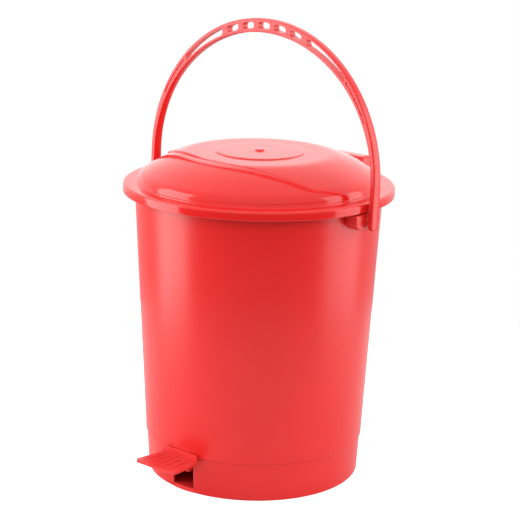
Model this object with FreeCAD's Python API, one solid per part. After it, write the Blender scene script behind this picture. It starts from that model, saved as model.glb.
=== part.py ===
import FreeCAD, Part
import math
import os
from FreeCAD import Vector

# Round pedal bin with a domed lid, a raised carrying handle and a lift-out inner bucket.
# Millimetres.  Origin: centre of the foot circle on the floor.  +Z up, the pedal at -Y,
# the lid hinge at +Y, the handle's pivots on the X axis.

# Outer bucket
WALL = 2.2
FOOT_R = 111.3
BAND_TOP_R = 113.4
BAND_Z = 40.0
WALL_FOOT_R = 114.6
WALL_TOP_R = 127.8
WALL_TOP_Z = 302.7
RIM_Z = 304.9
RIM_R = 133.0
RIM_LIP_Z = 297.0

# Slot in the foot band that the pedal comes through
SLOT_HALF = 13.8
SLOT_TOP_Z = 43.0

# Lid
LID_WALL = 2.0
FLANGE_R = 140.0
FLANGE_Z = 307.2
SKIRT_Z = 298.0
BEAD_R = 126.4
BEAD_Z = 308.8
PLATEAU_R = 76.0
PLATEAU_Z = 338.6
DISC_R = 46.0
DISC_RISE = 1.1
NUB_R = 5.8
NUB_RISE = 1.6
PANEL_ARC_R = 183.0
PANEL_ARC_Y = -69.0
PANEL_DROP = 1.9

# Hinge at the back of the lid, and its hood
HINGE_Y = 133.0
HINGE_Z = 297.0
HINGE_PIN_R = 2.0
HOOD_HALF = 46.0
KNUCKLE_X = 27.0
KNUCKLE_T = 5.0
LUG_X = 32.5
LUG_T = 4.0

# Crank that turns the rod's lift into lid rotation
CRANK_ARM = 16.0
CRANK_DROP_DEG = 35.0
EYE_Y = HINGE_Y - CRANK_ARM * math.cos(math.radians(CRANK_DROP_DEG))
EYE_Z = HINGE_Z - CRANK_ARM * math.sin(math.radians(CRANK_DROP_DEG))

# Pedal
AXLE_Y = -10.0
AXLE_Z = 28.2
AXLE_R = 2.5
TREAD_REAR_Y = -117.0
TREAD_FRONT_Y = -155.0
TREAD_REAR_HALF = 23.5
TREAD_FRONT_HALF = 27.0
TREAD_REAR_Z = 38.0
TREAD_FRONT_Z = 39.5
TREAD_T = 3.0
UPSTAND_Z = 44.8
LEVER_END_Y = 105.5
LEVER_END_Z = 19.0

# Push rod
ROD_R = 1.5
ROD_X = 8.0

# Handle
PIVOT_Z = 290.5
PIN_R = 3.0
ARM_OUT_X = 148.5
ARM_T = 5.0
ARM_FOOT_Z = 280.0
ARCH_Z = 322.0
APEX_Z = 474.0
GRIP_T = 14.0
FOOT_HALF_DEPTH = 5.5
GRIP_HALF_DEPTH = 4.2
HANDLE_LEAN_DEG = 2.0
BOSS_HALF = 19.0
BOSS_OUT_X = 140.0
BOSS_TOP_Z = 296.6
BOSS_FOOT_Z = 279.5

# Inner bucket
LINER_T = 1.6
LINER_FLOOR_Z = 46.0
LINER_FOOT_R = 101.0
LINER_TOP_R = 112.0
LINER_TOP_Z = 284.0

# Base plate
PLATE_R = 108.6
PLATE_Z0 = 0.0
PLATE_Z1 = 4.5
HEAD_SEAT_Z = 1.5
SCREW_CIRCLE_R = 102.5
SCREW_R = 1.5

BIG = 400.0
X_AXIS = Vector(1, 0, 0)
Y_AXIS = Vector(0, 1, 0)
Z_AXIS = Vector(0, 0, 1)
CENTRE = Vector(0, 0, 0)


def box(x0, x1, y0, y1, z0, z1):
    """Box between two corners."""
    return Part.makeBox(x1 - x0, y1 - y0, z1 - z0, Vector(x0, y0, z0))


def rod_along_x(r, x0, x1, y, z):
    """Cylinder of radius r along X."""
    return Part.makeCylinder(r, x1 - x0, Vector(x0, y, z), X_AXIS)


def ring_along_x(r_out, r_in, x0, x1, y, z):
    """Flat ring whose axis is along X."""
    return rod_along_x(r_out, x0, x1, y, z).cut(rod_along_x(r_in, x0 - 1, x1 + 1, y, z))


def chain(start, steps):
    """Closed wire from straight steps (point) and arcs (mid point, end point)."""
    edges = []
    here = start
    for step in steps + [start]:
        if isinstance(step, tuple):
            edges.append(Part.Arc(here, step[0], step[1]).toShape())
            here = step[1]
        elif here.distanceToPoint(step) > 1e-6:
            edges.append(Part.LineSegment(here, step).toShape())
            here = step
    return Part.Wire(edges)


def rz(r, z):
    """Point of a section turned about Z."""
    return Vector(r, 0, z)


def yz(y, z):
    """Point of a section in the YZ plane."""
    return Vector(0, y, z)


def turned(start, steps):
    """Solid of revolution about Z."""
    return Part.Face(chain(start, steps)).revolve(CENTRE, Z_AXIS, 360)


def across_x(x0, x1, start, steps):
    """YZ outline extruded from x0 to x1."""
    face = Part.Face(chain(start, steps))
    face.translate(Vector(x0, 0, 0))
    return face.extrude(Vector(x1 - x0, 0, 0))


def mirrored(shape):
    """Copy on the other side of the YZ plane."""
    return shape.mirror(CENTRE, X_AXIS)


def pair(shape):
    """Compound of a solid and its mirror image."""
    return Part.makeCompound([shape, mirrored(shape)])


def wall_r(z):
    """Outer radius of the bucket's wall above the foot band."""
    share = (z - BAND_Z) / (WALL_TOP_Z - BAND_Z)
    return WALL_FOOT_R + (WALL_TOP_R - WALL_FOOT_R) * share


def bucket_wall():
    """Tapered wall, foot band and the folded rim that the lid sits on."""
    rounding = 1.5
    lip = 2.0
    return turned(rz(FOOT_R - rounding, 0), [
        rz(FOOT_R, rounding),
        rz(BAND_TOP_R, BAND_Z),
        rz(WALL_FOOT_R, BAND_Z + 1.0),
        rz(WALL_TOP_R, WALL_TOP_Z),
        rz(RIM_R - lip, WALL_TOP_Z),
        rz(RIM_R - lip, RIM_LIP_Z),
        rz(RIM_R, RIM_LIP_Z),
        rz(RIM_R, RIM_Z - 1.0),
        rz(RIM_R - 1.0, RIM_Z),
        rz(WALL_TOP_R - WALL, RIM_Z),
        rz(WALL_TOP_R - WALL, WALL_TOP_Z),
        rz(WALL_FOOT_R - WALL, BAND_Z + 1.0),
        rz(BAND_TOP_R - WALL, BAND_Z),
        rz(FOOT_R - WALL, 0),
    ])


def boss_outline(inset):
    """U-shaped outline of a handle boss in the YZ plane."""
    half = BOSS_HALF - inset
    foot = BOSS_FOOT_Z + inset
    shoulder = 288.0
    bend = half * math.sin(math.radians(45))
    drop = (shoulder - foot) * math.sin(math.radians(45))
    return yz(-half, BOSS_TOP_Z - inset), [
        yz(-half, shoulder),
        (yz(-bend, shoulder - drop), yz(0, foot)),
        (yz(bend, shoulder - drop), yz(half, shoulder)),
        yz(half, BOSS_TOP_Z - inset),
    ]


def handle_boss():
    """Hollow boss on the +X side that carries one handle pivot."""
    start, steps = boss_outline(0)
    skin = across_x(WALL_TOP_R - 15, BOSS_OUT_X, start, steps)
    start, steps = boss_outline(WALL)
    hollow = across_x(WALL_TOP_R - 25, BOSS_OUT_X - WALL, start, steps)
    collar_r = PIN_R + 2.4
    collar = rod_along_x(collar_r, BOSS_OUT_X - 7.0, BOSS_OUT_X, 0, PIVOT_Z)
    return skin, hollow, collar


def hinge_lug():
    """Plate on the +X side of the rear notch that holds one end of the hinge pin."""
    eye_r = 6.0
    inner_y = 119.0
    web = across_x(LUG_X, LUG_X + LUG_T, yz(inner_y, HINGE_Z - eye_r), [
        yz(HINGE_Y, HINGE_Z - eye_r),
        yz(HINGE_Y, HINGE_Z + eye_r),
        yz(inner_y, HINGE_Z + eye_r),
    ])
    return web.fuse(rod_along_x(eye_r, LUG_X, LUG_X + LUG_T, HINGE_Y, HINGE_Z))


def screw_places():
    """Centres of the four base screws."""
    return [Vector(SCREW_CIRCLE_R * math.cos(a), SCREW_CIRCLE_R * math.sin(a), 0)
            for a in (math.radians(45 + 90 * k) for k in range(4))]


def outer_bucket():
    """The red outer shell with its pedal slot, hinge lugs, handle bosses and screw bosses."""
    shell = bucket_wall()
    cavity = turned(rz(0, BAND_Z), [
        rz(wall_r(BAND_Z) - WALL, BAND_Z),
        rz(WALL_TOP_R - WALL, WALL_TOP_Z),
        rz(0, WALL_TOP_Z),
    ])
    skin, hollow, collar = handle_boss()
    bosses = skin.cut(cavity).cut(hollow).fuse(collar)
    window = hollow.common(turned(rz(100, BOSS_FOOT_Z), [
        rz(wall_r(BOSS_FOOT_Z) + 5, BOSS_FOOT_Z),
        rz(WALL_TOP_R + 5, BOSS_TOP_Z),
        rz(100, BOSS_TOP_Z),
    ]))
    for side in (lambda s: s, mirrored):
        shell = shell.cut(side(window)).fuse(side(bosses))
    pin_hole_r = PIN_R + 0.06
    shell = shell.cut(rod_along_x(pin_hole_r, -BIG, BIG, 0, PIVOT_Z))
    slot = box(-SLOT_HALF, SLOT_HALF, -FOOT_R - 10, -FOOT_R + 20, -1, SLOT_TOP_Z)
    shell = shell.cut(slot)
    wide_notch = box(-LUG_X + 0.2, LUG_X - 0.2, 90, 150, 290.0, RIM_Z + 1)
    deep_notch = box(-12, 12, 90, 150, 280.0, RIM_Z + 1)
    shell = shell.cut(wide_notch).cut(deep_notch)
    shell = shell.fuse([hinge_lug(), mirrored(hinge_lug())])
    shell = shell.cut(rod_along_x(HINGE_PIN_R + 0.05, -60, 60, HINGE_Y, HINGE_Z))
    for place in screw_places():
        post = Part.makeCylinder(4.0, 18.0, place + Vector(0, 0, PLATE_Z1))
        web = box(0, FOOT_R - WALL - SCREW_CIRCLE_R + 1.0, -1.2, 1.2, PLATE_Z1, PLATE_Z1 + 18.0)
        web.rotate(CENTRE, Z_AXIS, math.degrees(math.atan2(place.y, place.x)))
        web.translate(place)
        pilot = Part.makeCylinder(SCREW_R, 15.0, place + Vector(0, 0, PLATE_Z1))
        shell = shell.fuse(post.fuse(web)).cut(pilot)
    return shell.removeSplitter()


def base_plate():
    """Bottom plate with the pedal bearings and the fins that carry the inner bucket."""
    plate = Part.makeCylinder(PLATE_R, PLATE_Z1 - PLATE_Z0, Vector(0, 0, PLATE_Z0))
    tongue = box(-SLOT_HALF + 0.5, SLOT_HALF - 0.5, -FOOT_R, -FOOT_R + 15, PLATE_Z0, PLATE_Z1)
    tongue = tongue.common(Part.makeCylinder(FOOT_R - 0.4, 20))
    plate = plate.fuse(tongue)
    bearing_x = 14.6
    bearing_t = 4.0
    bearing = across_x(bearing_x, bearing_x + bearing_t, yz(AXLE_Y - 12, PLATE_Z1), [
        yz(AXLE_Y - 6, AXLE_Z),
        (yz(AXLE_Y, AXLE_Z + 6), yz(AXLE_Y + 6, AXLE_Z)),
        yz(AXLE_Y + 12, PLATE_Z1),
    ])
    bearing = bearing.cut(rod_along_x(AXLE_R + 0.05, 0, 30, AXLE_Y, AXLE_Z))
    plate = plate.fuse([bearing, mirrored(bearing)])
    fin_in = 58.0
    fin_out = 97.0
    fin_t = 3.0
    for angle in (0, 38, 142, 180, 218, 322):
        fin = box(fin_in, fin_out, -fin_t / 2, fin_t / 2, PLATE_Z1, LINER_FLOOR_Z)
        fin.rotate(CENTRE, Z_AXIS, angle)
        plate = plate.fuse(fin)
    hoop = Part.makeCylinder(fin_in + fin_t, 12.0, Vector(0, 0, PLATE_Z1))
    hoop = hoop.cut(Part.makeCylinder(fin_in, 12.0, Vector(0, 0, PLATE_Z1)))
    hoop = hoop.cut(box(-20, 20, -BIG, BIG, 0, 40))
    plate = plate.fuse(hoop)
    for place in screw_places():
        plate = plate.cut(Part.makeCylinder(SCREW_R + 0.2, 10, place))
        plate = plate.cut(Part.makeCylinder(4.2, HEAD_SEAT_Z, place))
    return plate.removeSplitter()


def base_screws():
    """Four pan-head screws from below into the outer bucket."""
    head_z = 0.3
    slot_depth = 0.6
    screws = []
    for place in screw_places():
        head = Part.makeCylinder(3.4, HEAD_SEAT_Z - head_z, place + Vector(0, 0, head_z))
        shank = Part.makeCylinder(SCREW_R, 13.0, place + Vector(0, 0, HEAD_SEAT_Z))
        cross = box(-2, 2, -0.4, 0.4, head_z - 1, head_z + slot_depth)
        cross = cross.fuse(box(-0.4, 0.4, -2, 2, head_z - 1, head_z + slot_depth))
        cross.translate(place)
        screws.append(head.fuse(shank).cut(cross))
    return Part.makeCompound(screws)


def inner_bucket():
    """Lift-out liner with a turned-out rim and two finger grips."""
    rim_out = 1.5
    rim_t = 2.0
    foot_round = 6.0
    shell = turned(rz(0, LINER_FLOOR_Z), [
        rz(LINER_FOOT_R - foot_round, LINER_FLOOR_Z),
        (rz(LINER_FOOT_R - foot_round * 0.29, LINER_FLOOR_Z + foot_round * 0.29),
         rz(LINER_FOOT_R, LINER_FLOOR_Z + foot_round)),
        rz(LINER_TOP_R, LINER_TOP_Z - rim_t),
        rz(LINER_TOP_R + rim_out, LINER_TOP_Z - rim_t),
        rz(LINER_TOP_R + rim_out, LINER_TOP_Z),
        rz(LINER_TOP_R - LINER_T, LINER_TOP_Z),
        rz(LINER_FOOT_R - LINER_T, LINER_FLOOR_Z + foot_round),
        (rz(LINER_FOOT_R - LINER_T - foot_round * 0.27, LINER_FLOOR_Z + LINER_T + foot_round * 0.25),
         rz(LINER_FOOT_R - LINER_T - foot_round, LINER_FLOOR_Z + LINER_T)),
        rz(0, LINER_FLOOR_Z + LINER_T),
    ])
    ear_half = 27.0
    ear_rise = 15.0
    hoop = Part.makeCylinder(LINER_TOP_R, ear_rise, Vector(0, 0, LINER_TOP_Z))
    hoop = hoop.cut(Part.makeCylinder(LINER_TOP_R - LINER_T, ear_rise, Vector(0, 0, LINER_TOP_Z)))
    outline = across_x(60, 130, yz(-ear_half, LINER_TOP_Z), [
        yz(-ear_half + 3, LINER_TOP_Z + ear_rise - 5),
        (yz(-ear_half + 5, LINER_TOP_Z + ear_rise - 1.5), yz(-ear_half + 9, LINER_TOP_Z + ear_rise)),
        yz(ear_half - 9, LINER_TOP_Z + ear_rise),
        (yz(ear_half - 5, LINER_TOP_Z + ear_rise - 1.5), yz(ear_half - 3, LINER_TOP_Z + ear_rise - 5)),
        yz(ear_half, LINER_TOP_Z),
    ])
    finger = box(60, 130, -18, 18, LINER_TOP_Z + 2.5, LINER_TOP_Z + 10.5)
    ear = hoop.common(outline).cut(finger)
    return shell.fuse([ear, mirrored(ear)]).removeSplitter()


def dome(drop):
    """Solid dome whose surface is lower than the outer one by drop all round."""
    top = PLATEAU_Z - drop
    foot_r = BEAD_R - 1.8 - drop
    return turned(rz(0, SKIRT_Z), [
        rz(foot_r, SKIRT_Z),
        rz(foot_r, BEAD_Z + 2.0),
        (rz(foot_r - 1.4, BEAD_Z + 6.8 - 0.3 * drop), rz(foot_r - 5.4, BEAD_Z + 10.9 - 0.6 * drop)),
        (rz(100.0, PLATEAU_Z - 8.3 - drop), rz(PLATEAU_R, top)),
        rz(0, top),
    ])


def front_region(shift):
    """Everything on the pedal side of the arc that steps down across the lid."""
    centre = Vector(0, PANEL_ARC_Y + PANEL_ARC_R, 250)
    inside = Part.makeCylinder(PANEL_ARC_R + shift, 150, centre)
    return box(-BIG, BIG, -BIG, 60, 250, 400).cut(inside)


def lid_dome(drop):
    """Dome with the lower front panel."""
    whole = dome(drop)
    panel = dome(drop)
    panel.translate(Vector(0, 0, -PANEL_DROP))
    region = front_region(-0.5 * drop)
    return whole.cut(region).fuse(panel.common(region))


def hood_solid(inset, low_z):
    """Raised hood over the hinge, seen from the side as one smooth hump."""
    half = HOOD_HALF - inset
    return across_x(-half, half, yz(114.0 + inset, low_z), [
        yz(115.5 + inset, 319.0 - inset),
        (yz(116.8 + inset, 322.0 - inset), yz(120.0 + inset, 323.0 - inset)),
        yz(131.0, 322.6 - inset),
        (yz(142.0 - 0.8 * inset, 318.0 - 0.8 * inset), yz(146.6 - inset, 308.0)),
        yz(147.0 - inset, low_z),
    ])


def lid_flange():
    """Flat flange with its rounded skirt and the bead at the dome's foot."""
    edge = 2.4
    return turned(rz(BEAD_R - 8, FLANGE_Z - LID_WALL), [
        rz(FLANGE_R - LID_WALL - 0.2, FLANGE_Z - LID_WALL),
        rz(FLANGE_R - LID_WALL - 0.2, SKIRT_Z),
        rz(FLANGE_R, SKIRT_Z),
        rz(FLANGE_R, FLANGE_Z - edge),
        (rz(FLANGE_R - edge * 0.29, FLANGE_Z - edge * 0.29), rz(FLANGE_R - edge, FLANGE_Z)),
        rz(BEAD_R, FLANGE_Z),
        rz(BEAD_R, BEAD_Z),
        rz(BEAD_R - 8, BEAD_Z),
    ])


def lid():
    """Domed lid with its hinge hood, knuckles and crank bosses."""
    outer = lid_dome(0.0)
    hollow = lid_dome(LID_WALL)
    shell = lid_flange().fuse(outer)
    disc = Part.makeCylinder(DISC_R, DISC_RISE + 1, Vector(0, 0, PLATEAU_Z - 1))
    rim_edges = [e for e in disc.Edges if abs(e.BoundBox.ZMin - PLATEAU_Z - DISC_RISE) < 0.01
                 and e.BoundBox.XLength > DISC_R]
    disc = disc.makeFillet(0.8, rim_edges)
    nub = Part.makeCone(NUB_R, NUB_R - 1.4, NUB_RISE, Vector(0, 0, PLATEAU_Z + DISC_RISE))
    shell = shell.fuse(disc).fuse(nub)
    hood_low = HINGE_Z - 7.0
    hood = hood_solid(0.0, hood_low)
    hood_clear_r = RIM_R + 6.0
    over_rim = turned(rz(0, 250), [rz(hood_clear_r, 250), rz(hood_clear_r, 306.0), rz(0, 306.0)])
    hood = hood.cut(over_rim)
    shell = shell.fuse(hood)
    shell = shell.cut(hollow)
    shell = shell.cut(Part.makeCylinder(BEAD_R - 1.8 - LID_WALL, 20, Vector(0, 0, 288)))
    shell = shell.cut(hood_solid(2.2, 280.0))
    ring_end_y = 75.0
    behind_ring = Part.makeCylinder(BEAD_R, FLANGE_Z - LID_WALL - 280.0, Vector(0, 0, 280.0))
    shell = shell.cut(behind_ring.common(box(-BIG, BIG, ring_end_y, BIG, 270, 320)))
    knuckle = across_x(KNUCKLE_X, KNUCKLE_X + KNUCKLE_T, yz(HINGE_Y - 5, HINGE_Z), [
        (yz(HINGE_Y, HINGE_Z - 5), yz(HINGE_Y + 5, HINGE_Z)),
        yz(HINGE_Y + 5, 321.0),
        yz(HINGE_Y - 5, 321.5),
    ])
    knuckle = knuckle.common(hood_solid(0.5, 280.0))
    shell = shell.fuse([knuckle, mirrored(knuckle)])
    for x in (-9.0, 9.0):
        boss = Part.makeCylinder(3.6, 9.5, Vector(x, 124.0, 312.0))
        shell = shell.fuse(boss).cut(Part.makeCylinder(1.2, 8.0, Vector(x, 124.0, 312.0)))
    shell = shell.cut(rod_along_x(HINGE_PIN_R + 0.06, -50, 50, HINGE_Y, HINGE_Z))
    return shell.removeSplitter()


def lid_crank():
    """Moulded crank under the hood: pad, web, hub on the hinge pin and rod eye."""
    half = 4.0
    pad = box(-14, 14, 119.0, 130.0, 309.5, 312.0)
    web = across_x(-half, half, yz(EYE_Y - 3, EYE_Z + 3.4), [
        yz(121.0, 309.6),
        yz(129.5, 309.6),
        yz(HINGE_Y + 3.5, HINGE_Z + 3.5),
        yz(HINGE_Y - 1.0, HINGE_Z - 4.8),
        yz(EYE_Y + 2.5, EYE_Z - 3.7),
    ])
    hub = rod_along_x(5.0, -half, half, HINGE_Y, HINGE_Z)
    eye = rod_along_x(4.5, -half, half, EYE_Y, EYE_Z)
    crank = pad.fuse([web, hub, eye])
    crank = crank.cut(rod_along_x(HINGE_PIN_R + 0.06, -20, 20, HINGE_Y, HINGE_Z))
    crank = crank.cut(rod_along_x(ROD_R + 0.06, -20, 20, EYE_Y, EYE_Z))
    for x in (-9.0, 9.0):
        crank = crank.cut(Part.makeCylinder(1.4, 10, Vector(x, 124.0, 305)))
    return crank.removeSplitter()


def crank_screws():
    """Two small screws that hold the crank to the lid's bosses."""
    screws = []
    for x in (-9.0, 9.0):
        head = Part.makeCylinder(2.6, 1.6, Vector(x, 124.0, 307.9))
        shank = Part.makeCylinder(1.2, 10.0, Vector(x, 124.0, 309.5))
        slot = box(x - 2, x + 2, 123.7, 124.3, 307, 308.5)
        screws.append(head.fuse(shank).cut(slot))
    return Part.makeCompound(screws)


def hinge_pin():
    """Steel pin through both lugs, both knuckles and the crank."""
    half = LUG_X + LUG_T + 2.4
    pin = rod_along_x(HINGE_PIN_R, -half, half, HINGE_Y, HINGE_Z)
    return pin.makeChamfer(0.4, [e for e in pin.Edges if e.BoundBox.XLength < 0.01])


def hinge_clips():
    """Push-on washers at the ends of the hinge pin."""
    x0 = LUG_X + LUG_T + 0.2
    return pair(ring_along_x(4.2, HINGE_PIN_R, x0, x0 + 0.9, HINGE_Y, HINGE_Z))


def wire(points, radius, bend):
    """Round wire through points, with an arc of radius bend at each inner point."""
    edges = []
    here = points[0]
    for before, corner, after in zip(points, points[1:], points[2:]):
        a = (before - corner).normalize()
        b = (after - corner).normalize()
        half_turn = (math.pi - a.getAngle(b)) / 2
        reach = bend * math.tan(half_turn)
        start = corner + a * reach
        end = corner + b * reach
        middle_dir = (a + b).normalize()
        centre = corner + middle_dir * (bend / math.cos(half_turn))
        middle = centre - middle_dir * bend
        edges.append(Part.LineSegment(here, start).toShape())
        edges.append(Part.Arc(start, middle, end).toShape())
        here = end
    edges.append(Part.LineSegment(here, points[-1]).toShape())
    path = Part.Wire(edges)
    section = Part.Wire(Part.makeCircle(radius, points[0], points[1] - points[0]))
    return path.makePipeShell([section], True, False)


def push_rod():
    """Steel wire from the pedal's tail to the crank, hooked through both."""
    end_x = -7.2
    return wire([Vector(end_x, EYE_Y, EYE_Z), Vector(ROD_X, EYE_Y, EYE_Z),
                 Vector(ROD_X, LEVER_END_Y, LEVER_END_Z), Vector(end_x, LEVER_END_Y, LEVER_END_Z)],
                ROD_R, 3.0)


def rod_clips():
    """Push-on washers on the two hooked ends of the rod."""
    upper = ring_along_x(3.4, ROD_R, -5.2, -4.4, EYE_Y, EYE_Z)
    lower = ring_along_x(3.4, ROD_R, -6.4, -5.6, LEVER_END_Y, LEVER_END_Z)
    return Part.makeCompound([upper, lower])


def pedal_tread():
    """Fan-shaped tread with grooves along it and an upstand at its root."""
    corners = [Vector(-TREAD_REAR_HALF, TREAD_REAR_Y, 0), Vector(TREAD_REAR_HALF, TREAD_REAR_Y, 0),
               Vector(TREAD_FRONT_HALF, TREAD_FRONT_Y, 0), Vector(-TREAD_FRONT_HALF, TREAD_FRONT_Y, 0)]
    fan = Part.Face(Part.makePolygon(corners + corners[:1])).extrude(Vector(0, 0, 60))
    upright = [e for e in fan.Edges if e.BoundBox.ZLength > 50 and e.BoundBox.YMin < TREAD_FRONT_Y + 1]
    fan = fan.makeFillet(4.0, upright)
    slab = across_x(-40, 40, yz(TREAD_REAR_Y, TREAD_REAR_Z - TREAD_T), [
        yz(TREAD_REAR_Y, TREAD_REAR_Z),
        yz(TREAD_FRONT_Y, TREAD_FRONT_Z),
        yz(TREAD_FRONT_Y, TREAD_FRONT_Z - TREAD_T),
    ])
    tread = fan.common(slab)
    grooves = 5
    groove_r = 2.2
    lift = groove_r - 0.35
    for k in range(grooves):
        share = (k + 1) / (grooves + 1) * 2 - 1
        start = Vector(share * TREAD_REAR_HALF, TREAD_REAR_Y - 6, TREAD_REAR_Z + lift)
        end = Vector(share * TREAD_FRONT_HALF, TREAD_FRONT_Y + 3, TREAD_FRONT_Z + lift)
        run = end - start
        tread = tread.cut(Part.makeCylinder(groove_r, run.Length, start, run))
    upstand = box(-TREAD_REAR_HALF + 0.8, TREAD_REAR_HALF - 0.8, TREAD_REAR_Y - 1.0,
                  TREAD_REAR_Y + 1.5, TREAD_REAR_Z - TREAD_T, UPSTAND_Z)
    return tread.fuse(upstand)


def pedal():
    """Tread, stem through the slot, lever under the inner bucket, hub and slotted tail."""
    stem = across_x(-11, 11, yz(TREAD_REAR_Y - 6, TREAD_REAR_Z - TREAD_T), [
        yz(TREAD_REAR_Y + 1.5, 24.0),
        yz(-99.0, 24.0),
        yz(-55.0, 20.5),
        yz(AXLE_Y, AXLE_Z - 6.0),
        yz(AXLE_Y, AXLE_Z + 5.0),
        yz(-55.0, 31.5),
        yz(-99.0, 35.0),
    ])
    relief = across_x(-8.5, 8.5, yz(-95.0, 28.0), [
        yz(-55.0, 24.5),
        yz(AXLE_Y - 10, 26.0),
        yz(AXLE_Y - 10, 40.0),
        yz(-95.0, 40.0),
    ])
    tail_half = 5.0
    tail = across_x(-tail_half, tail_half, yz(AXLE_Y, AXLE_Z - 6.0), [
        yz(LEVER_END_Y - 4, LEVER_END_Z - 5.0),
        (yz(LEVER_END_Y + 3.5, LEVER_END_Z), yz(LEVER_END_Y - 4, LEVER_END_Z + 5.0)),
        yz(AXLE_Y, AXLE_Z + 6.0),
    ])
    hub = rod_along_x(6.4, -14, 14, AXLE_Y, AXLE_Z)
    lever = stem.cut(relief).fuse([tail, hub, pedal_tread()])
    lever = lever.cut(rod_along_x(AXLE_R + 0.06, -20, 20, AXLE_Y, AXLE_Z))
    slot_half = ROD_R + 0.5
    slot_y0 = LEVER_END_Y - 3.3
    slot = box(-10, 10, slot_y0, LEVER_END_Y, LEVER_END_Z - slot_half, LEVER_END_Z + slot_half)
    slot = slot.fuse(rod_along_x(slot_half, -10, 10, slot_y0, LEVER_END_Z))
    slot = slot.fuse(rod_along_x(slot_half, -10, 10, LEVER_END_Y, LEVER_END_Z))
    return lever.cut(slot).removeSplitter()


def pedal_axle():
    """Steel axle across the bearings."""
    axle = rod_along_x(AXLE_R, -21, 21, AXLE_Y, AXLE_Z)
    return axle.makeChamfer(0.5, [e for e in axle.Edges if e.BoundBox.XLength < 0.01])


def axle_clips():
    """Push-on washers at the ends of the pedal axle."""
    return pair(ring_along_x(5.2, AXLE_R, 18.8, 19.8, AXLE_Y, AXLE_Z))


def ellipse_point(half_x, half_z, centre_z, angle):
    """Point of an upright ellipse, angle in radians from +X."""
    return Vector(half_x * math.cos(angle), 0, centre_z + half_z * math.sin(angle))


def upright_ellipse(half_x, half_z, centre_z):
    """Ellipse in the XZ plane, centred on the Z axis."""
    side = Vector(half_x, 0, centre_z)
    top = Vector(0, 0, centre_z + half_z)
    if half_x > half_z:
        return Part.Ellipse(side, top, Vector(0, 0, centre_z))
    return Part.Ellipse(top, side, Vector(0, 0, centre_z))


def arch_band():
    """The flat band of the handle, extruded in depth."""
    out_z = APEX_Z - ARCH_Z
    in_x = ARM_OUT_X - ARM_T
    in_centre = ARCH_Z - 2.0
    in_z = APEX_Z - GRIP_T - in_centre
    outer = upright_ellipse(ARM_OUT_X, out_z, ARCH_Z)
    inner = upright_ellipse(in_x, in_z, in_centre)
    depth = 2 * FOOT_HALF_DEPTH
    shift = Vector(0, -FOOT_HALF_DEPTH, 0)

    def slab(curve, half_x, centre_z):
        disc = Part.Face(Part.Wire(curve.toShape()))
        legs = Part.Face(Part.makePolygon([Vector(-half_x, 0, 200), Vector(half_x, 0, 200),
                                           Vector(half_x, 0, centre_z), Vector(-half_x, 0, centre_z),
                                           Vector(-half_x, 0, 200)]))
        both = disc.extrude(Vector(0, depth, 0)).fuse(legs.extrude(Vector(0, depth, 0)))
        both.translate(shift)
        return both

    band = slab(outer, ARM_OUT_X, ARCH_Z).cut(slab(inner, in_x, in_centre))
    side = across_x(-BIG, BIG, yz(-FOOT_HALF_DEPTH, ARM_FOOT_Z + FOOT_HALF_DEPTH), [
        (yz(0, ARM_FOOT_Z), yz(FOOT_HALF_DEPTH, ARM_FOOT_Z + FOOT_HALF_DEPTH)),
        yz(FOOT_HALF_DEPTH, 310),
        yz(GRIP_HALF_DEPTH, 410),
        yz(GRIP_HALF_DEPTH, 500),
        yz(-GRIP_HALF_DEPTH, 500),
        yz(-GRIP_HALF_DEPTH, 410),
        yz(-FOOT_HALF_DEPTH, 310),
    ])
    return band.common(side), (out_z, in_x, in_centre, in_z)


def mid_point(t, spread, sizes):
    """Point of the band's middle line at parameter t from the apex, moved outwards by spread."""
    out_z, in_x, in_centre, in_z = sizes
    angle = math.pi / 2 - t
    a = ellipse_point(ARM_OUT_X, out_z, ARCH_Z, angle)
    b = ellipse_point(in_x, in_z, in_centre, angle)
    out = (a - b).normalize()
    return (a + b) * 0.5 + out * spread


def grip_hole(t, sizes):
    """Rounded hole through the grip at parameter t."""
    half_len = 7.6
    half_high = 3.4
    block = box(-half_len, half_len, -20, 20, -half_high, half_high)
    block = block.makeFillet(2.6, [e for e in block.Edges if e.BoundBox.YLength > 30])
    ahead = mid_point(t + 0.01, 0, sizes) - mid_point(t - 0.01, 0, sizes)
    block.rotate(CENTRE, Y_AXIS, -math.degrees(math.atan2(ahead.z, ahead.x)))
    block.translate(mid_point(t, 0, sizes))
    return block


def crescent(t0, t1, half0, half1, sizes, y0, y1):
    """Tapering slot along the band between two parameters, on the +X side."""
    count = 9
    ts = [t0 + (t1 - t0) * k / (count - 1) for k in range(count)]
    halves = [half0 + (half1 - half0) * k / (count - 1) for k in range(count)]
    upper = [mid_point(t, h, sizes) for t, h in zip(ts, halves)]
    lower = [mid_point(t, -h, sizes) for t, h in zip(ts, halves)]
    top = Part.BSplineCurve()
    top.interpolate(upper)
    bottom = Part.BSplineCurve()
    bottom.interpolate(lower)
    cap0 = Part.Arc(lower[0], mid_point(t0 - half0 / ARM_OUT_X, 0, sizes), upper[0]).toShape()
    cap1 = Part.LineSegment(upper[-1], lower[-1]).toShape()
    face = Part.Face(Part.Wire(Part.__sortEdges__([cap0, top.toShape(), cap1, bottom.toShape()])))
    face.translate(Vector(0, y0, 0))
    return face.extrude(Vector(0, y1 - y0, 0))


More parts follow.
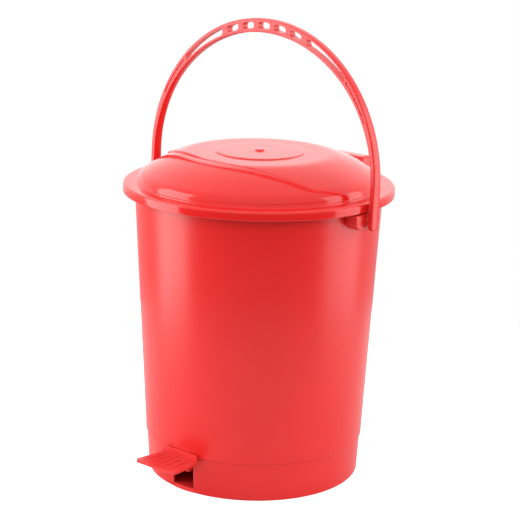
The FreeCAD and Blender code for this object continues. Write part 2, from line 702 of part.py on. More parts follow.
def handle():
    """Carrying handle: flat arch with five grip holes, two long slots and pivot eyes."""
    band, sizes = arch_band()
    for k in range(-2, 3):
        band = band.cut(grip_hole(k * 0.1425, sizes))
    slot = crescent(0.385, 0.79, 3.6, 1.3, sizes, -20, 20)
    band = band.cut(slot).cut(mirrored(slot))
    pocket_depth = 1.6
    for y0, y1 in ((-20, -GRIP_HALF_DEPTH + pocket_depth), (GRIP_HALF_DEPTH - pocket_depth, 20)):
        pocket = crescent(0.81, 1.12, 1.6, 1.4, sizes, y0, y1)
        band = band.cut(pocket).cut(mirrored(pocket))
    band = band.cut(rod_along_x(PIN_R + 0.06, -BIG, BIG, 0, PIVOT_Z))
    band = band.removeSplitter()
    band.rotate(Vector(0, 0, PIVOT_Z), X_AXIS, -HANDLE_LEAN_DEG)
    return band


def handle_pins():
    """Two shouldered pins, headed inside the bosses, that the handle swings on."""
    head_x = BOSS_OUT_X - 8.6
    shaft = rod_along_x(PIN_R, head_x, ARM_OUT_X - 0.3, 0, PIVOT_Z)
    head = rod_along_x(PIN_R + 0.6, head_x - 1.4, head_x + 1.4, 0, PIVOT_Z)
    dimple = rod_along_x(1.2, ARM_OUT_X - 1.3, ARM_OUT_X + 1, 0, PIVOT_Z)
    return pair(shaft.fuse(head).cut(dimple))


def handle_washers():
    """Plain washers between each boss and the handle's arm."""
    x0 = BOSS_OUT_X + 0.3
    x1 = ARM_OUT_X - ARM_T - 0.3
    return pair(ring_along_x(5.2, PIN_R, x0, x1, 0, PIVOT_Z))


PARTS = {
    "outer_bucket": outer_bucket,
    "base_plate": base_plate,
    "base_screws": base_screws,
    "inner_bucket": inner_bucket,
    "lid": lid,
    "lid_crank": lid_crank,
    "crank_screws": crank_screws,
    "hinge_pin": hinge_pin,
    "hinge_clips": hinge_clips,
    "push_rod": push_rod,
    "rod_clips": rod_clips,
    "pedal": pedal,
    "pedal_axle": pedal_axle,
    "axle_clips": axle_clips,
    "handle": handle,
    "handle_pins": handle_pins,
    "handle_washers": handle_washers,
}

os.makedirs("parts", exist_ok=True)
for name, make in PARTS.items():
    shape = make()
    shape.exportStep(os.path.join("parts", name + ".step"))
    bounds = shape.BoundBox
    print("%-16s solids %d valid %s volume %.1f cm3  x %.1f %.1f  y %.1f %.1f  z %.1f %.1f" % (
        name, len(shape.Solids), shape.isValid(), shape.Volume / 1000, bounds.XMin, bounds.XMax,
        bounds.YMin, bounds.YMax, bounds.ZMin, bounds.ZMax))
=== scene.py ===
import math

import bmesh
import bpy
import numpy as np
from mathutils import Matrix, Vector


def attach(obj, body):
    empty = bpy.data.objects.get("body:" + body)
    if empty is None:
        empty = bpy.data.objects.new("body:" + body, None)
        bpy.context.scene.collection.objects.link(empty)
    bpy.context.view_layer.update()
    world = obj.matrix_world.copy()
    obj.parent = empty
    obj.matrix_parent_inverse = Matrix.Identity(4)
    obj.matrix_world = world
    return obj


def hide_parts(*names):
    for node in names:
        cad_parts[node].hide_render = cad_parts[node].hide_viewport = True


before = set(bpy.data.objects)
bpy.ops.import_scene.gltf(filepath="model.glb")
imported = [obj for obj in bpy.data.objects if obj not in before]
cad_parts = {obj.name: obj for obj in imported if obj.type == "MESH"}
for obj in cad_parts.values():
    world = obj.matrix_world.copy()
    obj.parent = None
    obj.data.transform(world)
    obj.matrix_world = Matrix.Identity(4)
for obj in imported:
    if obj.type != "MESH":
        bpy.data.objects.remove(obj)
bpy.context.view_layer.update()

MM = 0.001

# ---------------------------------------------------------------------------
# Outer bucket.  One red polypropylene moulding: a tapered wall on a narrower
# foot band, with a slot for the pedal, and a rim folded outwards and down
# that the lid rests on.  The back of the rim is notched for the hinge.
# ---------------------------------------------------------------------------

BUCKET_FOOT_R = 111.3
BAND_TOP_R = 113.4
BAND_Z = 40.0
WALL_FOOT_R = 114.6
WALL_TOP_R = 127.8
WALL_TOP_Z = 302.7
RIM_R = 133.0
RIM_Z = 304.9
RIM_LIP_Z = 297.0
WALL_T = 2.2
SLOT_HALF = 13.8
SLOT_TOP_Z = 43.0
HINGE_NOTCH_HALF = 32.3
HINGE_NOTCH_Z = 290.0
ROD_NOTCH_HALF = 12.0
ROD_NOTCH_Z = 280.0


def circle_through(a, b, c, count):
    """Points on the circle through three plane points, from the first over the second to the last.

    The centre is where the perpendicular bisectors meet, and the angle grows evenly.
    """
    a, b, c = (np.array(p, float) for p in (a, b, c))
    side = np.array([b - a, c - a])
    centre = a + np.linalg.solve(2 * side, (side ** 2).sum(1))
    angle = [math.atan2(*(p - centre)[::-1]) for p in (a, b, c)]
    turn = np.unwrap(angle)
    if abs(turn[2] - turn[0]) > 2 * math.pi:
        turn[2] -= math.copysign(2 * math.pi, turn[2] - turn[0])
    along = np.linspace(turn[0], turn[2], count)
    radius = np.linalg.norm(a - centre)
    return centre + radius * np.stack([np.cos(along), np.sin(along)], -1)


def run(a, b, count):
    """Evenly spaced points on the straight line between two plane points."""
    share = np.linspace(0, 1, count)[:, None]
    return np.array(a, float) * (1 - share) + np.array(b, float) * share


def around(count, keys):
    """Angles round the whole circle, each key angle taking the place of the nearest even one."""
    angles = np.linspace(-math.pi, math.pi, count, endpoint=False)
    for key in keys:
        angles[np.argmin(np.abs(angles - key))] = key
    return np.sort(angles)


def straight_sided(angles, radii, key_r, key_angle, reach):
    """How far each ring's points turn so that columns near key_angle keep their sideways place.

    A column's sideways place is that of radius key_r; the effect fades out over reach.
    """
    off = angles - key_angle
    fade = np.clip(1.5 - np.abs(off) / reach, 0, 1)
    fade = fade * fade * (3 - 2 * fade)
    side = np.clip(key_r * np.sin(off) / np.maximum(radii, 1e-6)[:, None], -0.999, 0.999)
    return fade * (np.arcsin(side) - off)


def ring_points(radii, heights, turn):
    """Points of rings about Z: radius and height for each ring, angle for each column."""
    radii = np.broadcast_to(np.asarray(radii, float).reshape(len(radii), -1), turn.shape)
    heights = np.broadcast_to(np.asarray(heights, float).reshape(len(heights), -1), turn.shape)
    return np.stack([radii * np.cos(turn), radii * np.sin(turn), heights], -1)


def walled(outer, inner, keep, wrap):
    """Closed wall between two surfaces on one grid, as points and quads.

    Each kept cell is a face on both surfaces, and each border between a kept cell and a
    left-out one is a face from one surface to the other.
    """
    rows, cols = outer.shape[:2]
    skip = rows * cols
    index = np.arange(skip).reshape(rows, cols)
    pad = np.pad(keep, 1)
    if wrap:
        index = np.concatenate([index, index[:, :1]], axis=1)
        pad[:, 0] = pad[:, -2]
        pad[:, -1] = pad[:, 1]
    a, b, c, d = index[:-1, :-1], index[:-1, 1:], index[1:, 1:], index[1:, :-1]
    faces = [np.stack([a, b, c, d], -1)[keep], np.stack([a, d, c, b], -1)[keep] + skip]
    low, high = pad[:-1, 1:-1], pad[1:, 1:-1]
    p, q = index[:, :-1], index[:, 1:]
    faces.append(np.stack([q, p, p + skip, q + skip], -1)[high & ~low])
    faces.append(np.stack([p, q, q + skip, p + skip], -1)[low & ~high])
    left, right = pad[1:-1, :-1], pad[1:-1, 1:]
    if wrap:
        left, right = left[:, :-1], right[:, :-1]
        p, q = index[:-1, :-1], index[1:, :-1]
    else:
        p, q = index[:-1], index[1:]
    faces.append(np.stack([p, q, q + skip, p + skip], -1)[right & ~left])
    faces.append(np.stack([q, p, p + skip, q + skip], -1)[left & ~right])
    points = np.concatenate([outer.reshape(-1, 3), inner.reshape(-1, 3)])
    return points, np.concatenate(faces)


def tube(rings):
    """Closed skin over rings of points: quads between neighbours, and a flat cap at each end."""
    rows, cols = rings.shape[:2]
    index = np.arange(rows * cols).reshape(rows, cols)
    index = np.concatenate([index, index[:, :1]], axis=1)
    a, b, c, d = index[:-1, :-1], index[:-1, 1:], index[1:, 1:], index[1:, :-1]
    sides = np.stack([a, b, c, d], -1).reshape(-1, 4)
    return rings.reshape(-1, 3), sides, [list(index[0, :-1][::-1]), list(index[-1, :-1])]


def piece(name, parts, material, body, replaces=(), crease=35.0, merge=2e-7):
    """One object from walls and skins given in millimetres, merged and turned outwards."""
    points, faces = [], []
    start = 0
    for part in parts:
        points.append(part[0] * MM)
        faces += (part[1] + start).tolist()
        if len(part) > 2:
            faces += [[i + start for i in cap] for cap in part[2]]
        start += len(part[0])
    mesh = bpy.data.meshes.new(name)
    mesh.from_pydata(np.concatenate(points), [], faces)
    bm = bmesh.new()
    bm.from_mesh(mesh)
    bmesh.ops.remove_doubles(bm, verts=bm.verts, dist=merge)
    bmesh.ops.recalc_face_normals(bm, faces=bm.faces)
    bm.to_mesh(mesh)
    bm.free()
    mesh.polygons.foreach_set("use_smooth", np.ones(len(mesh.polygons), bool))
    mesh.set_sharp_from_angle(angle=math.radians(crease))
    made = bpy.data.objects.new(name, mesh)
    bpy.context.scene.collection.objects.link(made)
    made.data.materials.append(material)
    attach(made, body)
    if replaces:
        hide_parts(*replaces)
    return made


def group_of(name, inputs, outputs):
    """Empty shader node group with named float inputs and outputs."""
    group = bpy.data.node_groups.new(name, "ShaderNodeTree")
    for label, value in inputs:
        group.interface.new_socket(label, in_out="INPUT", socket_type="NodeSocketFloat").default_value = value
    for label in outputs:
        group.interface.new_socket(label, in_out="OUTPUT", socket_type="NodeSocketFloat")
    entry = group.nodes.new("NodeGroupInput")
    end = group.nodes.new("NodeGroupOutput")
    return group, entry, end


def add(tree, kind, values=(), **settings):
    """New node with its properties and input defaults set."""
    node = tree.nodes.new(kind)
    for key, value in settings.items():
        setattr(node, key, value)
    for key, value in values:
        node.inputs[key].default_value = value
    return node


def math_node(tree, operation, a, b=None):
    """Math node on sockets or plain numbers."""
    node = tree.nodes.new("ShaderNodeMath")
    node.operation = operation
    for slot, value in enumerate((a, b)):
        if value is None:
            continue
        if isinstance(value, (int, float)):
            node.inputs[slot].default_value = value
        else:
            tree.links.new(value, node.inputs[slot])
    return node.outputs[0]


def moulded_skin():
    """Group: height of the fine orange peel and slow sink waves of a moulding, and its colour drift."""
    knobs = [("Peel Scale", 420.0), ("Wave Scale", 26.0), ("Wave Share", 0.3)]
    group, entry, end = group_of("moulded_skin", knobs, ["Height", "Drift"])
    place = add(group, "ShaderNodeTexCoord").outputs["Object"]
    peel = add(group, "ShaderNodeTexNoise", [("Detail", 3.0), ("Roughness", 0.55)])
    wave = add(group, "ShaderNodeTexNoise", [("Detail", 1.0), ("Roughness", 0.4)])
    drift = add(group, "ShaderNodeTexNoise", [("Scale", 9.0), ("Detail", 4.0), ("Roughness", 0.6)])
    for node in (peel, wave, drift):
        group.links.new(place, node.inputs["Vector"])
    group.links.new(entry.outputs["Peel Scale"], peel.inputs["Scale"])
    group.links.new(entry.outputs["Wave Scale"], wave.inputs["Scale"])
    fine = math_node(group, "MULTIPLY", peel.outputs["Fac"], 0.05)
    slow = math_node(group, "MULTIPLY", wave.outputs["Fac"], entry.outputs["Wave Share"])
    group.links.new(math_node(group, "ADD", fine, slow), end.inputs["Height"])
    group.links.new(drift.outputs["Fac"], end.inputs["Drift"])
    return group


def handling_marks():
    """Group: thin rubbed scratches, smudges left by hands, and rubbed convex edges, each as a mask."""
    group, entry, end = group_of("handling_marks", [("Scratch Scale", 30.0), ("Edge Start", 0.53)],
                                 ["Scratches", "Smudge", "Edge"])
    place = add(group, "ShaderNodeTexCoord").outputs["Object"]
    lean = add(group, "ShaderNodeMapping", [("Rotation", (0.5, 0.35, 0.8)), ("Scale", (1.0, 14.0, 0.7))])
    lines = add(group, "ShaderNodeTexNoise", [("Detail", 5.0), ("Roughness", 0.7), ("Distortion", 0.4)])
    blots = add(group, "ShaderNodeTexNoise", [("Scale", 22.0), ("Detail", 5.0), ("Roughness", 0.65)])
    group.links.new(place, lean.inputs["Vector"])
    group.links.new(lean.outputs["Vector"], lines.inputs["Vector"])
    group.links.new(entry.outputs["Scratch Scale"], lines.inputs["Scale"])
    group.links.new(place, blots.inputs["Vector"])
    thin = add(group, "ShaderNodeMapRange", [("From Min", 0.66), ("From Max", 0.74)])
    soft = add(group, "ShaderNodeMapRange", [("From Min", 0.45), ("From Max", 0.75)])
    edge = add(group, "ShaderNodeMapRange", [("From Max", 0.62)])
    bend = add(group, "ShaderNodeNewGeometry").outputs["Pointiness"]
    group.links.new(lines.outputs["Fac"], thin.inputs["Value"])
    group.links.new(blots.outputs["Fac"], soft.inputs["Value"])
    group.links.new(bend, edge.inputs["Value"])
    group.links.new(entry.outputs["Edge Start"], edge.inputs["From Min"])
    group.links.new(thin.outputs["Result"], end.inputs["Scratches"])
    group.links.new(soft.outputs["Result"], end.inputs["Smudge"])
    group.links.new(edge.outputs["Result"], end.inputs["Edge"])
    return group


def settled_dust():
    """Group: a thin film of dust on faces that look up, broken up by noise."""
    group, entry, end = group_of("settled_dust", [("Amount", 0.1)], ["Dust"])
    place = add(group, "ShaderNodeTexCoord").outputs["Object"]
    facing = add(group, "ShaderNodeSeparateXYZ")
    group.links.new(add(group, "ShaderNodeNewGeometry").outputs["Normal"], facing.inputs[0])
    specks = add(group, "ShaderNodeTexNoise", [("Scale", 160.0), ("Detail", 6.0), ("Roughness", 0.7)])
    group.links.new(place, specks.inputs["Vector"])
    up = add(group, "ShaderNodeMapRange", [("From Min", 0.35), ("From Max", 1.0)])
    group.links.new(facing.outputs["Z"], up.inputs["Value"])
    clumps = add(group, "ShaderNodeMapRange", [("From Min", 0.42), ("From Max", 0.7)])
    group.links.new(specks.outputs["Fac"], clumps.inputs["Value"])
    both = math_node(group, "MULTIPLY", up.outputs["Result"], clumps.outputs["Result"])
    group.links.new(math_node(group, "MULTIPLY", both, entry.outputs["Amount"]), end.inputs["Dust"])
    return group


SKIN = moulded_skin()
MARKS = handling_marks()
DUST = settled_dust()


def place_group(tree, group, values=()):
    """Instance of a shader node group in a material."""
    node = tree.nodes.new("ShaderNodeGroup")
    node.node_tree = group
    for key, value in values:
        node.inputs[key].default_value = value
    return node


def tint(tree, share, low, high):
    """Colour between two colours by a mask socket."""
    node = tree.nodes.new("ShaderNodeMix")
    node.data_type = "RGBA"
    tree.links.new(share, node.inputs["Factor"])
    for slot, value in ((6, low), (7, high)):
        if isinstance(value, tuple):
            node.inputs[slot].default_value = value + (1.0,)
        else:
            tree.links.new(value, node.inputs[slot])
    return node.outputs[2]


def plastic(name, deep, pale, gloss, wave=0.2, dust=0.03, glow=0.12, dust_tone=(0.62, 0.42, 0.38)):
    """Moulded plastic: drifting tone, orange peel, sink waves, rubbed edges, smudges and dust."""
    material = bpy.data.materials.new(name)
    material.use_nodes = True
    tree = material.node_tree
    shader = tree.nodes["Principled BSDF"]
    skin = place_group(tree, SKIN, [("Wave Share", wave)])
    marks = place_group(tree, MARKS)
    film = place_group(tree, DUST, [("Amount", dust)])
    body = tint(tree, skin.outputs["Drift"], deep, pale)
    rubbed = math_node(tree, "MULTIPLY", marks.outputs["Edge"], 0.35)
    worn = tint(tree, rubbed, body, tuple(min(1.0, c * 1.15 + 0.05) for c in pale))
    tree.links.new(tint(tree, film.outputs["Dust"], worn, dust_tone), shader.inputs["Base Color"])
    smear = math_node(tree, "MULTIPLY", marks.outputs["Smudge"], 0.03)
    lines = math_node(tree, "MULTIPLY", marks.outputs["Scratches"], 0.04)
    fuzz = math_node(tree, "MULTIPLY", film.outputs["Dust"], 0.8)
    rough = math_node(tree, "ADD", math_node(tree, "ADD", smear, lines), math_node(tree, "ADD", fuzz, gloss))
    tree.links.new(rough, shader.inputs["Roughness"])
    bump = add(tree, "ShaderNodeBump", [("Strength", 0.35), ("Distance", 0.0006)])
    tree.links.new(skin.outputs["Height"], bump.inputs["Height"])
    tree.links.new(bump.outputs["Normal"], shader.inputs["Normal"])
    shader.inputs["IOR"].default_value = 1.49
    shader.inputs["Subsurface Weight"].default_value = glow
    shader.inputs["Subsurface Scale"].default_value = 0.004
    return material


RED_DEEP = (0.66, 0.012, 0.011)
RED_PALE = (0.74, 0.017, 0.015)
body_red = plastic("red_bucket_plastic", RED_DEEP, RED_PALE, 0.28)

half_turn = math.pi / 2
slot_angle = math.asin(SLOT_HALF / WALL_FOOT_R)
notch_angle = math.asin(HINGE_NOTCH_HALF / WALL_TOP_R)
rod_angle = math.asin(ROD_NOTCH_HALF / WALL_TOP_R)
bucket_angles = around(300, [-half_turn - slot_angle, -half_turn + slot_angle, half_turn - notch_angle,
                             half_turn + notch_angle, half_turn - rod_angle, half_turn + rod_angle])

wall_gain = (WALL_TOP_R - WALL_FOOT_R) / (WALL_TOP_Z - BAND_Z - 1.0)


def wall_r(z):
    """Outer radius of the tapered wall."""
    return WALL_FOOT_R + wall_gain * (z - BAND_Z - 1.0)


outer_profile = np.concatenate([
    circle_through((BUCKET_FOOT_R - 1.5, 0), (BUCKET_FOOT_R - 0.4, 0.5), (BUCKET_FOOT_R, 1.6), 5),
    run((BUCKET_FOOT_R + 0.12, 4), (BAND_TOP_R - 0.05, BAND_Z - 1.6), 8),
    circle_through((BAND_TOP_R, BAND_Z - 0.9), (BAND_TOP_R + 0.2, BAND_Z - 0.2),
                   (WALL_FOOT_R - 0.4, BAND_Z + 0.2), 4),
    circle_through((WALL_FOOT_R - 0.15, BAND_Z + 0.45), (WALL_FOOT_R, BAND_Z + 0.8), (wall_r(41.6), 41.6), 4),
    [[wall_r(SLOT_TOP_Z), SLOT_TOP_Z]],
    run((wall_r(52), 52), (wall_r(272), 272), 26),
    [[wall_r(280), 280], [wall_r(285), 285], [wall_r(290), 290], [wall_r(296), 296]],
    circle_through((WALL_TOP_R - 0.05, WALL_TOP_Z - 1.2), (WALL_TOP_R + 0.3, WALL_TOP_Z - 0.3),
                   (WALL_TOP_R + 1.2, WALL_TOP_Z), 4),
    [[RIM_R - 2.0, WALL_TOP_Z], [RIM_R - 2.0, RIM_LIP_Z + 0.4], [RIM_R - 1.7, RIM_LIP_Z],
     [RIM_R - 0.3, RIM_LIP_Z], [RIM_R, RIM_LIP_Z + 0.3]],
    circle_through((RIM_R, RIM_Z - 1.2), (RIM_R - 0.35, RIM_Z - 0.35), (RIM_R - 1.2, RIM_Z), 5),
])
straight = outer_profile[:, 0] <= WALL_TOP_R + 1e-6
last_wall = np.nonzero(straight)[0][-1]
inner_profile = outer_profile - [WALL_T, 0]
inner_profile[last_wall + 1:] = run((WALL_TOP_R - WALL_T, outer_profile[last_wall, 1] + 0.1),
                                    (WALL_TOP_R - WALL_T, RIM_Z), len(outer_profile) - last_wall - 1)


def bucket_surface(profile):
    """Profile turned about Z, its columns kept straight-sided at the pedal slot and at the hinge notch."""
    radii, heights = profile[:, 0], profile[:, 1]
    turn = bucket_angles + straight_sided(bucket_angles, radii, WALL_FOOT_R, -half_turn, 0.3)
    turn = turn + straight_sided(bucket_angles, radii, WALL_TOP_R, half_turn, 0.5)
    return ring_points(radii, heights, turn)


cell_z = (outer_profile[:-1, 1] + outer_profile[1:, 1]) / 2
cell_z[last_wall:] = RIM_Z
middle = (bucket_angles + np.roll(bucket_angles, -1)) / 2
middle[-1] = math.pi
in_slot = np.abs(middle + half_turn) < slot_angle
in_notch = np.abs(middle - half_turn) < notch_angle
in_rod = np.abs(middle - half_turn) < rod_angle
bucket_keep = ~((cell_z < SLOT_TOP_Z)[:, None] & in_slot[None, :])
bucket_keep &= ~((cell_z > HINGE_NOTCH_Z)[:, None] & in_notch[None, :])
bucket_keep &= ~((cell_z > ROD_NOTCH_Z)[:, None] & in_rod[None, :])
bucket_wall = walled(bucket_surface(outer_profile), bucket_surface(inner_profile), bucket_keep, True)
piece("bucket_wall", [bucket_wall], body_red, "bucket", ["outer_bucket"])

# ---------------------------------------------------------------------------
# Bosses of the outer bucket: two U-shaped bosses under the brim that
# carry the handle's pins, the two hinge lugs at the back, and four posts for
# the base screws.  All are part of the same red moulding.
# ---------------------------------------------------------------------------

PIVOT_Z = 290.5
BOSS_OUT_X = 140.0
BOSS_HALF = 19.0
BOSS_TOP_Z = 296.6
BOSS_FOOT_Z = 279.5
BOSS_ROOT_X = 126.4
SHOULDER_Z = 288.0
HINGE_Y = 133.0
HINGE_Z = 297.0
LUG_EYE_R = 6.0
LUG_ROOT_Y = 124.4
SCREW_CIRCLE_R = 102.5


def at_x(outline, x):
    """Outline of depths and heights as points in the plane at x."""
    return np.concatenate([np.full((len(outline), 1), x), outline], axis=1)


def boss_ring(x, inset):
    """U outline in a plane of constant X: two straight sides, half an ellipse below, a flat top."""
    half = BOSS_HALF - inset
    angle = np.linspace(math.pi, 2 * math.pi, 33)
    deep = SHOULDER_Z - BOSS_FOOT_Z - inset
    low = np.stack([half * np.cos(angle), SHOULDER_Z + deep * np.sin(angle)], -1)
    right = run((half, SHOULDER_Z + 2), (half, BOSS_TOP_Z - inset - 0.8), 4)
    top = run((half - 0.8, BOSS_TOP_Z - inset), (-half + 0.8, BOSS_TOP_Z - inset), 12)
    left = run((-half, BOSS_TOP_Z - inset - 0.8), (-half, SHOULDER_Z + 2), 4)
    outline = np.concatenate([low, right, top, left])
    return at_x(outline, x)


def lug_ring(x):
    """Outline of a hinge lug in a plane of constant X: a straight web with a round end."""
    angle = np.linspace(-half_turn, half_turn, 25)
    nose = np.stack([HINGE_Y + LUG_EYE_R * np.cos(angle), HINGE_Z + LUG_EYE_R * np.sin(angle)], -1)
    root = run((LUG_ROOT_Y, HINGE_Z + LUG_EYE_R), (LUG_ROOT_Y, HINGE_Z - LUG_EYE_R), 6)
    outline = np.concatenate([nose, root])
    return at_x(outline, x)


def post_ring(centre, radius, z):
    """Circle of a screw post at height z."""
    angle = np.linspace(0, 2 * math.pi, 24, endpoint=False)
    return np.stack([centre[0] + radius * np.cos(angle), centre[1] + radius * np.sin(angle),
                     np.full(24, z)], -1)


boss_steps = [(120.0, 0.0), (BOSS_OUT_X - 1.2, 0.0), (BOSS_OUT_X - 0.35, 0.35), (BOSS_OUT_X, 1.2)]
for side, label in ((1, "right"), (-1, "left")):
    rings = np.stack([boss_ring(x, inset) for x, inset in boss_steps]) * [side, 1, 1]
    rings[0, :, 0] = side * BOSS_ROOT_X
    piece("handle_boss_" + label, [tube(rings)], body_red, "bucket", ["outer_bucket"])
    lug_x = np.array([32.5, 32.9, 36.1, 36.5])
    rings = np.stack([lug_ring(x) for x in lug_x]) * [side, 1, 1]
    piece("hinge_lug_" + label, [tube(rings)], body_red, "bucket", ["outer_bucket"])

posts = []
for quarter in range(4):
    angle = math.radians(45 + 90 * quarter)
    centre = SCREW_CIRCLE_R * np.array([math.cos(angle), math.sin(angle)])
    posts.append(tube(np.stack([post_ring(centre, r, z) for r, z in ((4, 4.5), (4, 21.7), (3.2, 22.5))])))
piece("screw_posts", posts, body_red, "bucket", ["outer_bucket"])

# ---------------------------------------------------------------------------
# Lid.  A thin red moulding: flange with a turned-down skirt, a bead at the
# dome's foot, a nearly flat top with a low centre disc, and a front panel
# that lies below the rest behind a curved step.
# ---------------------------------------------------------------------------

FLANGE_R = 140.0
FLANGE_Z = 307.2
SKIRT_Z = 298.0
BEAD_R = 126.4
BEAD_Z = 308.8
DOME_FOOT_R = 124.6
PLATEAU_R = 76.0
PLATEAU_Z = 338.6
DISC_R = 46.0
DISC_RISE = 1.1
NUB_TOP_Z = PLATEAU_Z + DISC_RISE + 1.6
LID_WALL = 2.0
STEP_CENTRE = np.array([15.0, 114.0])
STEP_ARC_R = 183.0
STEP_LEFT_X = -112.0
STEP_RIGHT_X = 112.0
STEP_DEPTH = 2.0
STEP_FADE_R = 112.0
STEP_BRINK = 0.3
STEP_RUN = 0.3
FLAT_R = 60.0
HOOD_CUT_Y = 115.6
HOOD_CUT_HALF = 43.5
HOOD_KEY_R = 130.0
PLUG_BACK_Y = 75.0

lid_red = plastic("red_lid_plastic", RED_DEEP, RED_PALE, 0.11, wave=0.15, dust=0.02)

cut_angle = math.asin(HOOD_CUT_HALF / HOOD_KEY_R)
lid_angles = around(288, [half_turn - cut_angle, half_turn + cut_angle])

dome_curve = np.concatenate([
    run((0.0, PLATEAU_Z), (PLATEAU_R - 5, PLATEAU_Z), 2),
    circle_through((PLATEAU_R - 4, PLATEAU_Z), (PLATEAU_R, PLATEAU_Z - 0.25),
                   (PLATEAU_R + 4, PLATEAU_Z - 1.0), 7),
    circle_through((PLATEAU_R + 6, PLATEAU_Z - 1.6), (100.0, PLATEAU_Z - 8.3), (119.2, BEAD_Z + 10.9), 20),
    circle_through((119.9, BEAD_Z + 10.3), (123.2, BEAD_Z + 6.8), (DOME_FOOT_R, BEAD_Z + 2.0), 12),
])


def dome_height(r, drop):
    """Height of the dome over radius r: the section curve lowered by drop, but never below the bead."""
    return np.maximum(np.interp(r, dome_curve[:, 0], dome_curve[:, 1]) - drop, BEAD_Z + 0.6)


def step_radius(angles):
    """Distance from the lid's centre to the step's crest along each angle, or to the hood's cut."""
    ray = np.stack([np.cos(angles), np.sin(angles)], -1)
    along = ray @ STEP_CENTRE
    gap = STEP_CENTRE @ STEP_CENTRE - STEP_ARC_R ** 2
    arc = along + np.sqrt(np.maximum(along ** 2 - gap, 0))
    flat = np.where(ray[:, 1] > 0.3, HOOD_CUT_Y / np.maximum(ray[:, 1], 0.3), 1e3)
    widest = DOME_FOOT_R - 1.3
    return np.minimum(np.minimum(arc, flat), widest), arc < widest


def panel_drop(x, y):
    """How far the front panel lies below the dome: full at the left end, none at the right."""
    share = np.clip((STEP_RIGHT_X - x) / (STEP_RIGHT_X - STEP_LEFT_X), 0, 1)
    ends = np.clip((np.hypot(x, y) - STEP_FADE_R) / (DOME_FOOT_R - STEP_FADE_R), 0, 1)
    return STEP_DEPTH * share * (1 - 0.5 * ends ** 2)


